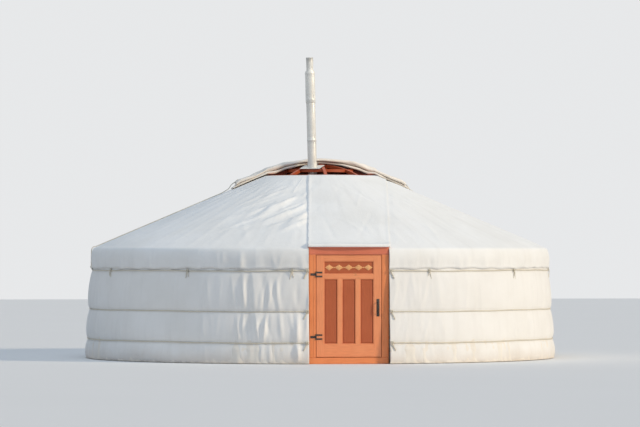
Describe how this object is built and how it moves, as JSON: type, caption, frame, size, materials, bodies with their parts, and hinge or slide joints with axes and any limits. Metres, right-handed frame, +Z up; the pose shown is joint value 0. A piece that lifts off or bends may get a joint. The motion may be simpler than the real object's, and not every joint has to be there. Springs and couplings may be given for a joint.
{
  "type": "yurt",
  "caption": "Round felt tent with white canvas cover, low conical roof, open timber crown, painted plank door and stovepipe.",
  "frame": {"origin": "centre of the yurt on the ground", "axes": "+Z up, -Y out through the door, +X to the right seen from the back of the room"},
  "size_m": [6.2514, 6.2129, 4.0107],
  "materials": {
    "canvas": "matt woven cotton",
    "felt": "matt pressed wool",
    "timber": "reddish orange, satin",
    "door_paint": "orange paint on wood, satin",
    "panel_paint": "brown orange paint on wood, satin",
    "rope": "twisted hair rope",
    "steel": "galvanised sheet",
    "iron": "dark forged iron"
  },
  "bodies": {
    "root": {"wall_felt_1": "felt", "wall_felt_2": "felt", "wall_felt_3": "felt", "wall_felt_4": "felt", "wall_felt_5": "felt", "wall_canvas_left": "canvas", "wall_canvas_right": "canvas", "base_strip": "canvas", "lattice_1": "timber", "lattice_2": "timber", "lattice_3": "timber", "lattice_4": "timber", "lattice_5": "timber", "roof_poles_1": "timber", "roof_poles_2": "timber", "roof_poles_3": "timber", "roof_poles_4": "timber", "crown_ring": "timber", "crown_wheel": "timber", "crown_cover": "canvas", "crown_rope_left": "rope", "crown_rope_right": "rope", "crown_rope_back": "rope", "roof_felt_front_left": "felt", "roof_felt_front_right": "felt", "roof_felt_back_left": "felt", "roof_felt_back_right": "felt", "roof_canvas": "canvas", "front_flap": "canvas", "post_left": "timber", "post_right": "timber", "door_jamb_left": "door_paint", "door_jamb_right": "door_paint", "door_lintel": "door_paint", "door_sill": "door_paint", "hinge_frame_plates": "iron", "wall_rope_upper": "rope", "wall_rope_middle": "rope", "wall_rope_lower": "rope", "stovepipe_lower": "steel", "stovepipe_upper": "steel", "stovepipe_flashing": "steel"},
    "door": {"door_leaf": "door_paint", "door_panels": "panel_paint", "door_handle": "iron", "hinge_leaf_plates": "iron"}
  },
  "joints": [
    {"name": "door_hinge", "type": "hinge", "parent": "root", "child": "door", "pos_m": [-0.418, -3.003, 0], "axis": [0, 0, -1], "range_deg": [0, 120]}
  ]
}
